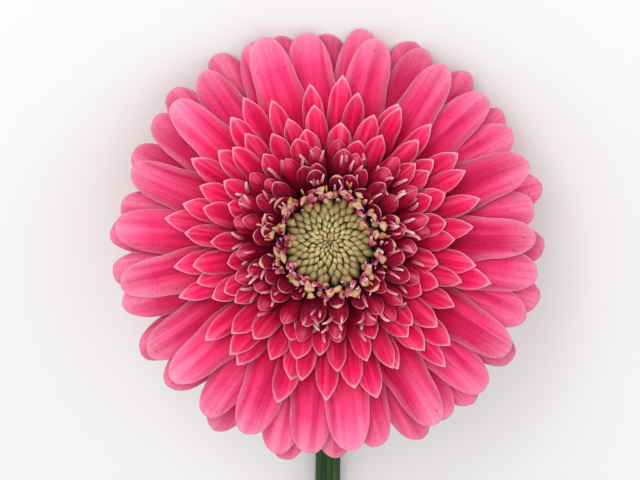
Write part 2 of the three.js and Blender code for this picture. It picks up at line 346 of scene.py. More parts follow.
def petal_finish(name, outer, inner, streak, rim, specks=None):
    """Petal tissue: a colour that changes along the petal, from outer florets to inner ones,
    with darker streaks between fine veins, a thin pale rim and small dark specks. Its root is
    darker, partly the tissue's own colour and partly painted shade where other petals cover it.
    Its pale streaks, paler tip and rim are partly painted sheen and highlight. Each petal carries
    painted shade towards both edges, and the hooded inner florets a painted highlight near the tip."""
    material, tree, shader = new_finish(name, roughness=0.5, gloss=0.08)
    side, along = chart_place(tree)
    tint, shade, edge = number(tree, "tint"), number(tree, "shade"), number(tree, "rim")

    def spread(wide, long, shift):
        return node(tree, "ShaderNodeCombineXYZ", {
            0: times(tree, side, wide),
            1: times(tree, along, long),
            2: times(tree, shade, shift),
        }).outputs[0]

    # The ramps run dark at the root: partly the tissue's own colour, partly painted shade under the
    # petals that cover it.
    colour = mixed(tree, tint, ramp(tree, along, outer), ramp(tree, along, inner))
    bands = noise(tree, spread(*streak["broad"], 37.0), 2.0)
    # Pale streaks towards the tip: partly the tissue's own, partly painted sheen.
    pale = times(
        tree,
        share_by(tree, bands, (0.28, 0.5), (0.5, 0), smooth=True),
        share_by(tree, along, *streak["pale"]),
    )
    colour = mixed(tree, pale, colour, rim["inner"])
    dark = times(
        tree,
        share_by(tree, bands, (0.45, 0), (0.6, 1), smooth=True),
        share_by(tree, along, *streak["fade"]),
    )
    colour = mixed(tree, dark, colour, streak["colour"])
    veins = noise(tree, spread(*streak["veins"], 37.0), 4.0)
    contrast = streak["contrast"]
    colour = shaded(tree, colour, share_by(tree, veins, (0.32, 1 - contrast), (0.68, 1 + contrast)))
    each = maths(tree, "MULTIPLY_ADD", shade, 0.1, 1.0)
    whole = node(tree, "ShaderNodeCombineColor", {0: each, 1: each, 2: each}).outputs[0]
    colour = shaded(tree, colour, whole)
    if specks:
        place = spread(specks["wide"], specks["long"], 53.0)
        cells = node(tree, "ShaderNodeTexVoronoi", {"Vector": place, "Scale": 1.0})
        pick = node(tree, "ShaderNodeSeparateColor", {0: cells.outputs["Color"]}).outputs[0]
        chosen = maths(tree, "GREATER_THAN", pick, specks["rare"])
        near = share_by(tree, cells.outputs["Distance"], (0.0, 1), (specks["size"], 0))
        inside = share_by(tree, side, (0.03, 0), (0.07, 0.8), (0.93, 0.8), (0.97, 0))
        speck = times(tree, times(tree, near, chosen), inside)
        speck = times(tree, speck, share_by(tree, along, (0.4, 0), (0.55, 1)))
        colour = mixed(tree, speck, colour, specks["colour"])
    # Painted shade and highlight: each petal is darker towards both edges and a little lighter in its
    # middle, as a curved petal is lit.
    low = streak["flank_shade"]
    flank_shade = share_by(tree, side, (0.0, low), (0.3, 1.03), (0.7, 1.03), (1.0, low), smooth=True)
    colour = shaded(tree, colour, flank_shade)
    colour = shaded(tree, colour, share_by(tree, mottle(tree, 1200.0, 3.0), (0.32, 0.92), (0.68, 1.07)))
    # Painted highlight: a pale patch in the middle of the tip of the hooded inner florets, where light
    # catches them.
    if "tip_highlight" in streak:
        lit = share_by(tree, along, (0.74, 0), (0.88, 1), (0.94, 1), (1.0, 0.1), smooth=True)
        middle = share_by(tree, side, (0.2, 0), (0.42, 1), (0.55, 1), (0.78, 0), smooth=True)
        hooded = share_by(tree, tint, (0.4, 0.75), (0.5, 0))
        strength = times(tree, times(tree, lit, middle), hooded)
        patchy = share_by(tree, noise(tree, spread(7.0, 1.0, 29.0), 2.0), (0.38, 0.2), (0.64, 0.95))
        colour = mixed(tree, times(tree, strength, patchy), colour, streak["tip_highlight"])
    if "crest" in rim:
        last = maths(tree, "GREATER_THAN", tint, 0.72)
        folded = times(tree, last, maths(tree, "GREATER_THAN", shade, 0.15))
        bent = maths(tree, "MULTIPLY_ADD", noise(tree, spread(3.0, 3.0, 23.0), 2.0), 0.14, along)
        crest = share_by(tree, bent, (0.955, 0), (0.985, 1))
        colour = mixed(tree, times(tree, crest, folded), colour, rim["crest"])
    # The pale rim: partly the thin margin's own paler tissue, partly painted highlight where the edge
    # catches light.
    uneven = maths(tree, "MULTIPLY_ADD", noise(tree, spread(2.0, 9.0, 19.0), 2.0), 1.5, 0.25)
    at_tip = share_by(tree, along, (0.7, 0.65 * rim["width"]), (1.0, 1.35 * rim["width"]))
    wide = times(tree, uneven, at_tip)
    near_edge = share_by(tree, maths(tree, "DIVIDE", edge, wide), (0.35, 1), (1.0, 0), smooth=True)
    soft = maths(tree, "DIVIDE", edge, rim["soft"])
    margin = share_by(tree, soft, (0.0, 0.45), (1.0, 0), smooth=True)
    rim_fade = share_by(tree, along, *rim["fade"])
    rim_colour = mixed(tree, tint, rim["outer"], rim["inner"])
    colour = mixed(tree, times(tree, margin, rim_fade), colour, rim_colour)
    colour = mixed(tree, times(tree, near_edge, rim_fade), colour, rim_colour)
    tree.links.new(colour, shader.inputs["Base Color"])
    bump(tree, shader, veins, strength=0.5, distance=0.0005)
    return material


def drawn_in(along, start, drop):
    """The share of its width that a petal keeps where it draws in towards its shoulder."""
    return 1 - drop * np.sin(np.pi / 2 * np.clip((along - start) / (1 - start), 0, 1)) ** 2


def ray_outline(along):
    widening = 0.28 + 0.72 * np.sin(np.pi / 2 * np.minimum(1, along / 0.72))
    return widening * drawn_in(along, 0.72, 0.14)


def ray_relief(across, along):
    """A groove on either side of the middle and a fainter one along it, in millimetres."""
    fade = np.clip(along / 0.25, 0, 1) * np.clip((1.02 - along) / 0.35, 0, 1)
    grooves = np.exp(-(((np.abs(across) - 0.36) / 0.12) ** 2)) + 0.55 * np.exp(-((across / 0.1) ** 2))
    return -0.42 * grooves * fade


ray_pink = petal_finish(
    "ray_petal_tissue",
    outer=[
        (0.0, srgb(110, 4, 40)),
        (0.5, srgb(206, 14, 80)),
        (0.8, srgb(236, 62, 120)),
        (1.0, srgb(246, 116, 156)),
    ],
    inner=[
        (0.0, srgb(136, 4, 46)),
        (0.5, srgb(230, 10, 80)),
        (0.78, srgb(252, 58, 124)),
        (1.0, srgb(254, 134, 174)),
    ],
    streak={
        "broad": (3.2, 0.7),
        "veins": (24.0, 1.4),
        "pale": [(0.5, 0.05), (0.85, 0.55)],
        "fade": [(0.3, 0.85), (0.75, 0.55), (1.0, 0.15)],
        "colour": srgb(184, 8, 66),
        "contrast": 0.15,
        "flank_shade": 0.84,
    },
    rim={
        "width": 0.32,
        "soft": 2.2,
        "fade": [(0.3, 0.2), (0.92, 0.65)],
        "outer": srgb(226, 146, 172),
        "inner": srgb(252, 176, 200),
    },
    specks={"wide": 6.0, "long": 22.0, "rare": 0.72, "size": 0.2, "colour": srgb(96, 16, 56)},
)

ray_blank = petal_blank(
    columns=20, rows=28, width=RAY_WIDTH, length=RAY_LENGTH, thick=RAY_THICK,
    outline=ray_outline, relief=ray_relief, tip_depth=0.25, tip_power=2.3, nick=0.012,
)
ray_florets = lay_florets(
    ray_blank, RAYS, RAY_LENGTH, RAY_WIDTH, RAY_THICK, cup=lambda share: -0.024,
)
join_pieces(ray_florets, "ray_petals", ray_pink, "ray_florets", slot="ray_petal")

# The outer trans florets are the three rows of smaller petals inside the rays, 84 in all.
# Each is an arched, pointed petal with a thin pale edge, and covers the feet of outer ones.
OUTER_TRANS = {
    "first": 55,
    "count": 84,
    "root": (13.3, 13),
    "level": (5.4, 9.1),
    "tip": (42.3, 27.4),
    "rise": (20, 40),
    "fall": (-3, 6),
    "width": (6.7, 6),
    "vary": {"tip": 0.055, "width": 0.13, "azimuth": 4.5, "fall": 4, "twist": 12},
}
TRANS_LENGTH = 26
TRANS_WIDTH = 6.4
TRANS_THICK = 0.3


def trans_outline(along):
    widening = 0.4 + 0.6 * np.sin(np.pi / 2 * np.minimum(1, along / 0.7))
    return widening * drawn_in(along, 0.72, 0.1)


def trans_relief(across, along):
    """The same grooves as on a ray, shallower."""
    fade = np.clip(along / 0.3, 0, 1) * np.clip((1.02 - along) / 0.2, 0, 1)
    grooves = np.exp(-(((np.abs(across) - 0.4) / 0.13) ** 2)) + 0.4 * np.exp(-((across / 0.1) ** 2))
    return -0.2 * grooves * fade


trans_pink = petal_finish(
    "trans_petal_tissue",
    outer=[
        (0.0, srgb(80, 2, 28)),
        (0.5, srgb(198, 2, 68)),
        (0.82, srgb(250, 24, 98)),
        (0.95, srgb(255, 76, 132)),
        # The palest last stop is partly painted highlight on the tip.
        (1.0, srgb(252, 160, 182)),
    ],
    inner=[
        (0.0, srgb(70, 2, 22)),
        (0.5, srgb(150, 0, 42)),
        (0.82, srgb(224, 8, 68)),
        (0.95, srgb(230, 34, 90)),
        (1.0, srgb(246, 136, 162)),
    ],
    streak={
        "broad": (4.0, 1.0),
        "veins": (12.0, 1.3),
        "fade": [(0.3, 0.85), (0.97, 0.25)],
        "colour": srgb(160, 0, 48),
        "pale": [(0.6, 0.05), (0.95, 0.35)],
        "contrast": 0.15,
        "flank_shade": 0.84,
    },
    rim={
        "width": 0.25,
        "soft": 1.1,
        "fade": [(0.55, 0.0), (0.82, 0.4), (0.97, 1.0)],
        "outer": srgb(255, 196, 212),
        "inner": srgb(255, 186, 200),
    },
)

trans_blank = petal_blank(
    columns=10, rows=16, width=TRANS_WIDTH, length=TRANS_LENGTH, thick=TRANS_THICK,
    outline=trans_outline, relief=trans_relief, tip_depth=0.24, tip_power=1.05,
)
trans_florets = lay_florets(
    trans_blank, OUTER_TRANS, TRANS_LENGTH, TRANS_WIDTH, TRANS_THICK,
    cup=lambda share: -0.06 - 0.03 * share,
    hood=lambda share: 0.6 * share,
)
join_pieces(trans_florets, "outer_trans_petals", trans_pink, "outer_trans_florets", slot="trans_petal")

# The inner trans florets stand steeper and are shorter, 64 in all. The first are hooded like
# a thimble, and the last are dark red spoons, some with a cream fold at the tip.
INNER_TRANS = {
    "first": 139,
    "count": 64,
    "root": (12.8, 12.4),
    "level": (11.1, 13.7),
    "tip": (26.6, 16),
    "rise": (44, 68),
    "fall": (8, 34),
    "width": (6, 5),
    "vary": {"tip": 0.07, "width": 0.15, "azimuth": 7, "fall": 7, "twist": 14},
}
INNER_LENGTH = 14
INNER_WIDTH = 5.6
INNER_THICK = 0.26
HOODED = 0.45


def inner_outline(along):
    widening = 0.38 + 0.5 * np.sin(np.pi / 2 * np.minimum(1, along / 0.65))
    return widening * drawn_in(along, 0.7, 0.06)


inner_red = petal_finish(
    "inner_petal_tissue",
    outer=[
        (0.0, srgb(78, 6, 26)),
        (0.5, srgb(132, 6, 40)),
        (0.85, srgb(196, 0, 54)),
        (1.0, srgb(212, 40, 84)),
    ],
    inner=[
        (0.0, srgb(84, 10, 30)),
        (0.6, srgb(118, 14, 44)),
        (0.9, srgb(138, 10, 48)),
        (1.0, srgb(160, 32, 64)),
    ],
    streak={
        "broad": (4.0, 1.0),
        "veins": (10.0, 1.2),
        "fade": [(0.3, 0.8), (0.95, 0.3)],
        "colour": srgb(88, 4, 28),
        "pale": [(0.8, 0.0), (1.0, 0.5)],
        "contrast": 0.15,
        "flank_shade": 0.86,
        "tip_highlight": srgb(240, 96, 138),
    },
    rim={
        "width": 0.2,
        "soft": 0.5,
        "fade": [(0.63, 0.0), (0.87, 0.27), (0.98, 0.95)],
        "outer": srgb(236, 118, 150),
        "inner": srgb(250, 176, 186),
        "crest": srgb(210, 172, 122),
    },
)

inner_blank = petal_blank(
    columns=12, rows=14, width=INNER_WIDTH, length=INNER_LENGTH, thick=INNER_THICK,
    outline=inner_outline, relief=trans_relief, tip_depth=0.28, tip_power=1.5,
)
inner_florets = lay_florets(
    inner_blank, INNER_TRANS, INNER_LENGTH, INNER_WIDTH, INNER_THICK,
    cup=lambda share: 0.05 if share > HOODED else -0.2,
    hood=lambda share: 0.2 if share > HOODED else 1.5,
)
join_pieces(inner_florets, "inner_trans_petals", inner_red, "inner_trans_florets", slot="inner_petal")

# The inner lips: each two-lipped floret has a pair of thin pale lobes at its throat, narrow
# strips of petal tissue that lie over the petal in front and curl at the end. A ring of
# shorter ones stands round the disc.
LIP_LENGTH = 5.0
LIP_WIDTH = 0.8
LIP_THICK = 0.15
LIP_STEPS = 40
FIRST_LIPPED = 118
LIPPED_FLORETS = 84
LIPLESS = 0.35
RING_LOBES = 84
RING_LOBE_ROOT = 12.2
RING_LOBE_LEVEL = 17.6


def lip_finish():
    material, tree, shader = new_finish("lip_tissue", roughness=0.45)
    _, along = chart_place(tree)
    reach = maths(tree, "MULTIPLY_ADD", number(tree, "shade"), 0.2, along)
    colour = ramp(tree, reach, [
        (0.0, srgb(150, 4, 54)),
        (0.35, srgb(218, 76, 120)),
        (0.7, srgb(240, 160, 178)),
        (1.0, srgb(254, 218, 218)),
    ])
    # Painted shade: the middle of each lip is darker, as in the hollow of its channel.
    channel_shade = share_by(tree, number(tree, "rim"), (0.12, 0), (0.34, 0.5))
    colour = mixed(tree, channel_shade, colour, srgb(180, 50, 88))
    light = share_by(tree, mottle(tree, 900.0, 2.0), (0.35, 0.8), (0.65, 1.1))
    tree.links.new(shaded(tree, colour, light), shader.inputs["Base Color"])
    return material


def curl_strip(size, x, y, z, start, aside, way, hook, rise):
    """A strip over a floret's petal: it starts at the share start of its length and aside of
    its middle, leaves at the angle way, turns by hook and rises in an arch."""
    steps = np.linspace(0, 1, LIP_STEPS)
    turn = way + hook * steps**2
    over = 1.35 * rise * np.sin(np.pi * np.minimum(1, steps * 0.8))
    ahead = np.concatenate([[0], np.cumsum(np.cos(turn[:-1]))]) / (LIP_STEPS - 1)
    beside = np.concatenate([[0], np.cumsum(np.sin(turn[:-1]))]) / (LIP_STEPS - 1)
    t = np.clip(y / LIP_LENGTH, 0, 1)
    angle = np.interp(t, steps, turn)
    out = LIP_LENGTH * np.interp(t, steps, ahead) - x * np.sin(angle)
    across = aside + LIP_LENGTH * np.interp(t, steps, beside) + x * np.cos(angle)
    above = z + 2 * LIP_THICK + np.interp(t, steps, over)
    return along_floret(size, start + out / size["length"], across, above, 0.0)


lip_blank = petal_blank(
    columns=4, rows=12, width=LIP_WIDTH, length=LIP_LENGTH, thick=LIP_THICK,
    outline=lambda along: 0.8 + 0.2 * np.cos(np.pi * (2 * along - 1)),
    relief=lambda across, along: 0.3 * across**2,
    tip_depth=0.12, tip_power=1.5,
)
lips = []


def add_lip(laid, shade):
    lip = copy_of(lip_blank)
    write_points(lip, from_head(laid))
    number_each_vertex(lip, "shade", shade)
    lips.append(lip)


x, y, z = read_points(lip_blank)
for n in range(FIRST_LIPPED, FIRST_LIPPED + LIPPED_FLORETS):
    kind = INNER_TRANS if n >= INNER_TRANS["first"] else OUTER_TRANS
    size = floret_size(kind, n - kind["first"])
    inner = (n - FIRST_LIPPED) / LIPPED_FLORETS
    for lobe in (-1, 1):
        if draw(n, 20 + lobe) > LIPLESS:
            continue
        scale = (1.05 - 0.45 * inner) * (1 + 0.35 * draw(n, 23 + lobe))
        way = lobe * (0.12 + 0.16 * draw(n, 25)) + 0.25 * draw(n, 26)
        hook = (2.4 + 1.4 * inner) * draw(n, 28 + lobe) ** 3 + lobe * 0.55
        beyond = -0.9 + 1.4 * draw(n, 38) if inner > 0.25 else -3.4 + 1.6 * draw(n, 38)
        start = 1 + (beyond - LIP_LENGTH * scale) / size["length"]
        arch = 0.8 + 0.4 * draw(n, 32 + lobe)
        narrow = x * (1 - 0.35 * inner)
        laid = curl_strip(size, narrow, y * scale, z, start, lobe * 0.5, way, hook, arch)
        add_lip(laid, draw(n, 34 + lobe))
for k in range(RING_LOBES):
    size = floret_size(INNER_TRANS, INNER_TRANS["count"] - 1 - k % 30)
    size["azimuth"] = k * GOLDEN_ANGLE
    size["root"] = RING_LOBE_ROOT + 1.7 * draw(k, 51)
    size["level"] = RING_LOBE_LEVEL + 1.1 * draw(k, 52)
    size["rise"] = math.radians(45 + 35 * draw(k, 53))
    wide = x * (1.15 + 0.5 * draw(k, 58))
    short = y * (0.48 + 0.15 * draw(k, 57))
    laid = curl_strip(size, wide, short, z, 0.0, 0.0, 1.6 * draw(k, 54), 2.4 * draw(k, 55), 0.7)
    add_lip(laid, -0.8 + 1.8 * draw(k, 56))
bpy.data.objects.remove(lip_blank)
join_pieces(lips, "inner_lips", lip_finish(), slot="inner_petal")

# The disc: a shallow bowl packed with closed green buds that curve in towards the middle,
# each a plump kite-shaped bud. The outer ones are larger and browner.
DISC_RADIUS = 10.8
DISC_LEVEL = 15.3
DISC_BUDS = 138
BUDS_UNDER_RING = 18
DIMPLE = 0.9
BED_RADIUS = 11.5
BED_FOOT = 14.6


def disc_height(radius):
    return DISC_LEVEL + 0.9 * np.minimum(1, (radius / DISC_RADIUS) ** 2)


def disc_finish():
    material, tree, shader = new_finish("disc_bud_skin", roughness=0.5, gloss=0.15)
    tint, shade, height = number(tree, "tint"), number(tree, "shade"), number(tree, "height")
    # Height is lowest at each bud's foot and flanks: the dark end of these ramps is painted shade
    # between the buds, the pale end a painted highlight on their tops.
    green = ramp(tree, height, [
        (0.1, srgb(22, 20, 10)),
        (0.34, srgb(124, 114, 64)),
        (0.72, srgb(202, 189, 132)),
        (1.0, srgb(216, 198, 144)),
    ])
    brown = ramp(tree, height, [
        (0.1, srgb(26, 16, 10)),
        (0.38, srgb(98, 78, 46)),
        (0.76, srgb(170, 148, 98)),
        (1.0, srgb(168, 116, 92)),
    ])
    colour = mixed(tree, share_by(tree, tint, (0.5, 0), (1.0, 1)), green, brown)
    pinkish = share_by(tree, tint, (0.1, 0), (0.16, 0.35), (0.3, 0.35), (0.42, 0))
    colour = mixed(tree, pinkish, colour, srgb(186, 152, 124))
    # The innermost buds turn dark teal: partly their own colour, partly painted shade in the dimple at
    # the middle.
    colour = mixed(tree, share_by(tree, tint, (0.1, 0.95), (0.17, 0)), colour, srgb(40, 60, 60))
    patches = mottle(tree, 700.0, 3.0)
    colour = shaded(tree, colour, share_by(tree, patches, (0.3, 0.86), (0.7, 1.12)))
    more = maths(tree, "MULTIPLY_ADD", shade, 0.15, 1.03)
    less = maths(tree, "MULTIPLY_ADD", shade, 0.09, 1.03)
    each = node(tree, "ShaderNodeCombineColor", {0: more, 1: less, 2: more}).outputs[0]
    tree.links.new(shaded(tree, colour, each), shader.inputs["Base Color"])
    bump(tree, shader, patches, strength=0.25, distance=0.0002)
    return material


def bud_blank(segments, rings, belly):
    """A closed bud one unit long and wide, foot at the origin, with its belly at a height and
    a ridge along its back."""
    bpy.ops.mesh.primitive_uv_sphere_add(segments=segments, ring_count=rings, radius=0.5)
    blank = bpy.context.object
    x, y, z = raw_points(blank)
    along = np.clip(z + 0.5, 0, 1)
    below = np.sqrt(np.clip(1 - 0.6 * ((belly - along) / belly) ** 2, 0, 1))
    above = 1 - np.clip((along - belly) / (1 - belly), 0, 1) ** 1.7
    girth = np.where(along < belly, below, above)
    girth = girth * (0.93 + 0.07 * np.cos(4 * np.arctan2(y, x)))
    girth = np.where(along < 1e-6, 0, girth)
    across = np.maximum(np.hypot(x, y), 1e-9)
    write_points(blank, [x / across * girth / 2, y / across * girth / 2, along])
    bpy.ops.object.shade_smooth()
    return blank


def turned(first, second, angle):
    """Two measures turned into each other by an angle."""
    sin, cos = math.sin(angle), math.cos(angle)
    return first * cos - second * sin, second * cos + first * sin


def stand_bud(master, radius, azimuth, level, lean, wide, deep, tall, hook, spin):
    """A copy of a bud that stands on the head and leans outwards by lean."""
    x, y, z = read_points(master)
    x, y = turned(x, y, spin)
    out, up = turned(y * deep + hook * z**2, z * tall, -lean)
    standing = copy_of(master)
    write_points(standing, from_head(round_head(azimuth, radius + out, x * wide, level + up)))
    # Height falls towards the bud's flanks, so the finishes paint the flanks and foot darker as painted
    # shade and the top paler as painted highlight.
    number_each_vertex(standing, "height", z - 1.1 * x**2)
    return standing


bud = bud_blank(segments=8, rings=8, belly=0.5)
buds = []
for k in range(DISC_BUDS + BUDS_UNDER_RING):
    share = ((k + 0.4) / DISC_BUDS) ** 0.79
    radius = 0.96 * DISC_RADIUS * share
    wide = (0.88 + 1.42 * share) * (1 + 0.1 * draw(k, 34))
    lean = -(0.4 + 0.65 * share + 0.12 * draw(k, 33))
    tall = 2.2 + 1.8 * share + 0.35 * draw(k, 31)
    level = disc_height(radius) - 0.9 + 0.3 * share - DIMPLE * math.exp(-((share / 0.13) ** 2))
    azimuth = k * GOLDEN_ANGLE + 0.025 * draw(k, 35)
    out = radius + 1.3 * share + 0.12 * draw(k, 36)
    placed = stand_bud(bud, out, azimuth, level, lean, wide, wide, tall, -0.25, 0.25 * draw(k, 37))
    number_each_vertex(placed, "tint", share)
    number_each_vertex(placed, "shade", draw(k, 32))
    buds.append(placed)
bpy.ops.mesh.primitive_uv_sphere_add(segments=48, ring_count=16, radius=1)
bed = bpy.context.object
bpy.ops.object.shade_smooth()
x, y, z = raw_points(bed)
surface = disc_height(BED_RADIUS * np.hypot(x, y)) - 0.6 * (1 - z)
level = np.where(z > 0, surface, BED_FOOT)
write_points(bed, from_head(np.array([x * BED_RADIUS, y * BED_RADIUS, level])))
# The bed takes the darkest colour: painted shade in the gaps between the buds.
number_each_vertex(bed, "height", 0.0)
number_each_vertex(bed, "tint", 0.5)
number_each_vertex(bed, "shade", 0.0)
buds.append(bed)
join_pieces(buds, "disc_buds", disc_finish(), "disc_florets", slot="disc_bud")

# The ring round the disc: buds about to open, magenta below with cream tips, packed in two
# uneven rows, and outside them the folded cream tips of florets that have begun to open.
RING_BUDS = 36
RING_BUD_ROOT = 11.6
RING_BUD_LEVEL = 14.7
RING_BUD_WIDTH = 2.2
RING_BUD_HEIGHT = 4.0
RING_CAPS = 26
CAP_ROOT = 12.4
CAP_LEVEL = 18.4


def ring_finish():
    material, tree, shader = new_finish("opening_bud_skin", roughness=0.5)
    patches = maths(tree, "SUBTRACT", mottle(tree, 600.0, 3.0), 0.5)
    height = maths(tree, "MULTIPLY_ADD", patches, 0.8, number(tree, "height"))
    height = maths(tree, "MULTIPLY_ADD", number(tree, "shade"), 0.16, height)
    # Height carries stand_bud's painted shade: the darkest stops fall on each bud's flanks and foot.
    colour = ramp(tree, height, [
        (0.0, srgb(70, 8, 28)),
        (0.4, srgb(150, 14, 54)),
        (0.54, srgb(216, 66, 106)),
        (0.62, srgb(240, 168, 160)),
        (0.7, srgb(196, 158, 104)),
        (0.9, srgb(222, 190, 138)),
        (1.0, srgb(196, 136, 100)),
    ])
    tree.links.new(colour, shader.inputs["Base Color"])
    return material


opening = []
for k in range(RING_BUDS):
    outer = min(1, k % 3)
    azimuth = (k + 0.45 * draw(k, 41)) * 2 * math.pi / RING_BUDS
    radius = RING_BUD_ROOT + 0.8 * outer + 0.35 * draw(k, 42)
    lean = -0.4 + 0.65 * outer + 0.35 * draw(k, 43)
    wide = RING_BUD_WIDTH + 0.4 * draw(k, 44)
    tall = RING_BUD_HEIGHT + 0.7 * draw(k, 45)
    hook = 0.6 * draw(k, 47)
    spin = 0.5 * draw(k, 48)
    placed = stand_bud(
        bud, radius, azimuth, RING_BUD_LEVEL, lean, wide, RING_BUD_WIDTH, tall, hook, spin,
    )
    number_each_vertex(placed, "shade", draw(k, 46))
    opening.append(placed)
bpy.data.objects.remove(bud)
bpy.ops.mesh.primitive_uv_sphere_add(segments=12, ring_count=7, radius=1)
cap = bpy.context.object
bpy.ops.object.shade_smooth()
x, y, z = raw_points(cap)
for k in range(RING_CAPS):
    outer = k % 3
    azimuth = (k + 0.4 * draw(k, 71)) * 2 * math.pi / RING_CAPS
    radius = CAP_ROOT + 1.05 * outer + 0.45 * draw(k, 72)
    level = CAP_LEVEL - 0.35 * outer + 0.5 * draw(k, 73)
    half = 1.6 + 0.45 * draw(k, 74)
    deep = 0.95 + 0.35 * draw(k, 75)
    bow = 0.45 + 0.5 * draw(k, 76)
    narrow = (1 - x**2) ** 0.35 * (1 + 0.2 * np.cos(4 * x + 3 * draw(k, 81)))
    ahead = y * deep * narrow - bow * x**2
    up = z * 0.6 * (1 - 0.5 * x**2) + 0.25 * (1 - np.abs(y)) - 0.3 * bow * x**2
    ahead, up = turned(ahead, up, -0.3 - 0.5 * draw(k, 77))
    beside, up = turned(x * half, up, 0.4 * draw(k, 79))
    beside, ahead = turned(beside, ahead, 0.55 * draw(k, 78))
    placed = copy_of(cap)
    write_points(placed, from_head(round_head(azimuth, radius + ahead, beside, level + up)))
    number_each_vertex(placed, "height", 0.64 + 0.26 * z - 0.12 * y - 0.3 * np.abs(x) ** 3)
    number_each_vertex(placed, "shade", draw(k, 80))
    opening.append(placed)
bpy.data.objects.remove(cap)
join_pieces(opening, "opening_buds", ring_finish(), slot="disc_bud")

# The anther tubes of a few open florets: in each the anthers have grown together into a small
# orange rod, paler at its tip, that stands out of the ring and leans outwards.
ANTHERS = 16
ANTHER_ROOT = 13.6
ANTHER_LEVEL = 18.2
ANTHER_WIDTH = 0.6
ANTHER_LENGTH = 2.3


def anther_finish():
    material, tree, shader = new_finish("anther_skin", roughness=0.6)
    colour = ramp(tree, number(tree, "height"), [
        (0.0, srgb(130, 50, 30)),
        (0.5, srgb(196, 116, 36)),
        (1.0, srgb(222, 168, 70)),
    ])
    light = share_by(tree, mottle(tree, 2500.0, 2.0), (0.35, 0.75), (0.65, 1.15))
    tree.links.new(shaded(tree, colour, light), shader.inputs["Base Color"])
    return material


bpy.ops.mesh.primitive_uv_sphere_add(segments=8, ring_count=6, radius=0.5)
rod = bpy.context.object
bpy.ops.object.shade_smooth()
x, y, z = raw_points(rod)
anthers = []
for k in range(ANTHERS):
    azimuth = (k + 0.3 * draw(k, 61)) * 2 * math.pi / ANTHERS
    radius = ANTHER_ROOT + 1.3 * draw(k, 62)
    lean = 0.9 + 0.4 * draw(k, 63)
    level = ANTHER_LEVEL + 0.6 * draw(k, 64)
    out, up = turned(y * ANTHER_WIDTH, (z + 0.5) * ANTHER_LENGTH, -lean)
    anther = copy_of(rod)
    write_points(anther, from_head(round_head(azimuth, radius + out, x * ANTHER_WIDTH, level + up)))
    number_each_vertex(anther, "height", z + 0.5)
    anthers.append(anther)
bpy.data.objects.remove(rod)
join_pieces(anthers, "anther_tubes", anther_finish(), slot="disc_bud")

# The tubes of all the florets, packed into one short ribbed column between the cup and the
# disc. The petals stand round it, and it is dark red, as the foot of each petal is.
TUBES_RADIUS = 12.5
TUBES_FOOT = 0.1
TUBES_TOP = 14.3
TUBE_RIBS = 32
RIB_HEIGHT = 0.35


def mottled_finish(name, dark, pale, roughness, scale, detail):
    material, tree, shader = new_finish(name, roughness)
    colour = ramp(tree, mottle(tree, scale, detail), [(0.3, dark), (0.7, pale)])
    tree.links.new(colour, shader.inputs["Base Color"])
    return material


bpy.ops.mesh.primitive_cylinder_add(vertices=3 * TUBE_RIBS, radius=1, depth=1)
tubes = bpy.context.object
x, y, z = raw_points(tubes)
ribbed = TUBES_RADIUS + RIB_HEIGHT * np.cos(TUBE_RIBS * np.arctan2(y, x))
level = np.where(z > 0, TUBES_TOP, TUBES_FOOT)
write_points(tubes, from_head(np.array([x * ribbed, y * ribbed, level])))
tube_red = mottled_finish(
    "floret_tubes_skin", srgb(70, 10, 26), srgb(108, 18, 42), roughness=0.7, scale=500.0, detail=3.0,
)
join_pieces([tubes], "floret_tubes", tube_red, slot="inner_petal")

# The involucre: a green cup of narrow overlapping bracts that holds the bloom, softly hairy,
# the inner ones longer, with their tips against the rays.
CUP_DEPTH = 13
CUP_RADIUS = 14
CUP_INSET = 0.25
CUP_LID = -0.35
CUP_ROWS = 18
STEM_RADIUS = 3.4
NECK_RADIUS = STEM_RADIUS + 0.4
BRACTS = 72
BRACT_WIDTH = 3.1
BRACT_LENGTH = 10
BRACT_THICK = 0.4
MERGED = 0.002 * MM


def cup_radius(level):
    share = np.clip(-np.asarray(level) / CUP_DEPTH, 0, 1)
    return NECK_RADIUS + (CUP_RADIUS - NECK_RADIUS) * np.sqrt(1 - share**2.2)


def green_finish(name, greens, veins, patches, roughness, ends=None, edges=None):
    """Green skin with paler veins along it and fine mottling, with pith where it is cut, or
    with pale edges and dark tips."""
    material, tree, shader = new_finish(name, roughness, gloss=0.2)
    side, along = chart_place(tree)
    place = node(tree, "ShaderNodeCombineXYZ", {
        0: times(tree, side, veins[0]),
        1: times(tree, along, veins[1]),
    }).outputs[0]
    streaks = noise(tree, place, 3.0)
    colour = ramp(tree, streaks, list(zip((0.3, 0.5, 0.72), greens)))
    if ends:
        colour = mixed(tree, share_by(tree, along, *ends["where"]), colour, ends["pith"])
    if edges:
        margin = number(tree, "rim")
        colour = mixed(tree, share_by(tree, margin, (0.08, 0.5), (0.5, 0)), colour, edges["pale"])
        tips = share_by(tree, along, (0.72, 0), (0.95, 0.8))
        tips = times(tree, tips, maths(tree, "LESS_THAN", margin, 3.0))
        colour = mixed(tree, tips, colour, edges["tip"])
    light = share_by(tree, mottle(tree, patches, 4.0), (0.3, 0.8), (0.7, 1.15))
    tree.links.new(shaded(tree, colour, light), shader.inputs["Base Color"])
    bump(tree, shader, streaks, strength=0.3, distance=0.0004)
    return material


